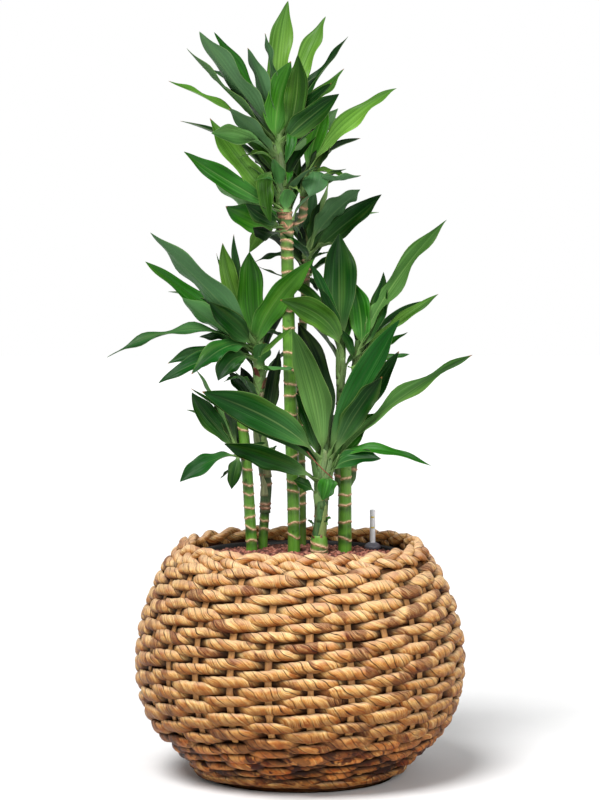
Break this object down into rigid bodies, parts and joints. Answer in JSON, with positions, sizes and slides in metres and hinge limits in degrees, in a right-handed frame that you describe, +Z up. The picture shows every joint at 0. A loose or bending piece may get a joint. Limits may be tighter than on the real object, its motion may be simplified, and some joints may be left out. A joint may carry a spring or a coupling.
{
  "type": "potted dracaena",
  "caption": "Dracaena house plant with upright green canes and leafy shoots, rooted in clay granules in a liner pot inside a round woven rope basket with a plaited rim.",
  "frame": {"origin": "centre of the basket's base, on the floor", "axes": "+Z up; +X to the right and +Y away from the camera as pictured"},
  "size_m": [0.494, 0.4724, 1.047],
  "materials": {
    "woven_rope": "dry twisted plant fibre, matt",
    "plaited_rope": "dry plaited plant fibre, matt",
    "black_plastic": "satin black",
    "clay_granules": "porous fired clay, matt",
    "grey_plastic": "satin grey",
    "clear_plastic": "clear, glossy",
    "red_plastic": "glossy red",
    "green_cane": "smooth green bark, satin",
    "leaf_green": "smooth leathery leaf, satin"
  },
  "bodies": {
    "root": {"basket_wall": "woven_rope", "basket_rim": "plaited_rope", "liner_pot": "black_plastic", "granules": "clay_granules", "gauge_housing": "grey_plastic", "gauge_sight_tube": "clear_plastic", "gauge_float": "red_plastic", "cane_a": "green_cane", "cane_b": "green_cane", "cane_c": "green_cane", "cane_d": "green_cane", "cane_e": "green_cane", "cane_f": "green_cane", "shoot_a": "leaf_green", "shoot_b": "leaf_green", "shoot_c_top": "leaf_green", "shoot_c_side": "leaf_green", "shoot_d": "leaf_green", "shoot_e": "leaf_green", "shoot_f_left": "leaf_green", "shoot_f_right": "leaf_green"}
  },
  "joints": []
}
